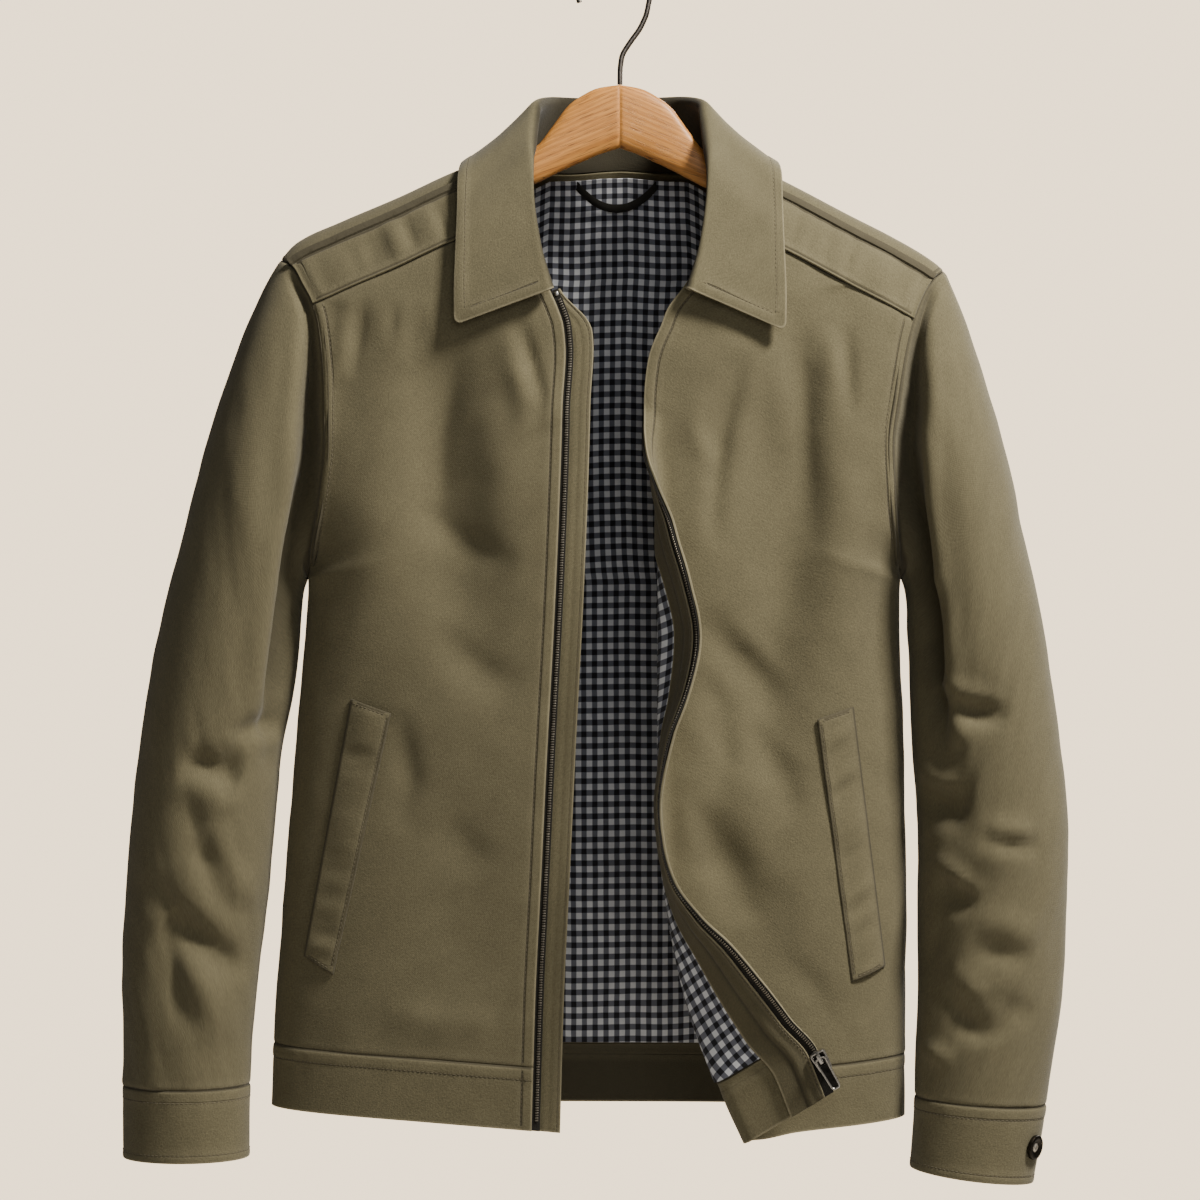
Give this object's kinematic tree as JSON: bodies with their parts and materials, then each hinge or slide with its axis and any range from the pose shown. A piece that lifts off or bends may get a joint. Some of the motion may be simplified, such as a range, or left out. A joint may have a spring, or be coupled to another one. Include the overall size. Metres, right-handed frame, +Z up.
{
  "type": "harrington jacket",
  "caption": "Zip jacket in olive cotton twill with a turned-down collar, slanted pocket welts, banded cuffs and hem and a checked lining, hung open on a wooden hanger.",
  "frame": {"origin": "the inside top of the hanger's hook, where it rests on a rail or a peg", "axes": "+Z up, -Y the way the jacket's front faces, +X towards the wearer's left"},
  "size_m": [0.6582, 0.1749, 0.8603],
  "materials": {
    "twill": "matt cotton twill",
    "lining": "woven black, grey and white check",
    "tape": "dark woven tape",
    "zip_metal": "bright polished metal",
    "snap": "dark satin metal",
    "oak": "clear satin varnish",
    "hook_steel": "satin steel wire"
  },
  "bodies": {
    "jacket": {"back_panel": "twill", "back_yoke": "twill", "front_yoke_right": "twill", "front_yoke_left": "twill", "front_right": "twill", "front_left": "twill", "hem_band_back": "twill", "hem_band_right": "twill", "hem_band_left": "twill", "sleeve_right": "twill", "sleeve_left": "twill", "cuff_right": "twill", "cuff_left": "twill", "collar": "twill", "pocket_welt_right": "twill", "pocket_welt_left": "twill", "facing_left": "twill", "zip_guard": "twill", "lining_back": "lining", "lining_front_left": "lining", "zip_tape_right": "tape", "zip_tape_left": "tape", "hanger_loop": "tape", "zip_slider": "zip_metal", "cuff_snap_left": "snap", "cuff_snap_right": "snap", "hanger_wood": "oak", "hanger_hook": "hook_steel"},
    "pull_tab": {"zip_pull": "zip_metal"}
  },
  "joints": [
    {"name": "pull_tab_hinge", "type": "hinge", "parent": "jacket", "child": "pull_tab", "pos_m": [0.13835, -0.08722, -0.76159], "axis": [-0.8658, 0.1029, -0.4896], "range_deg": [0, 110]}
  ]
}
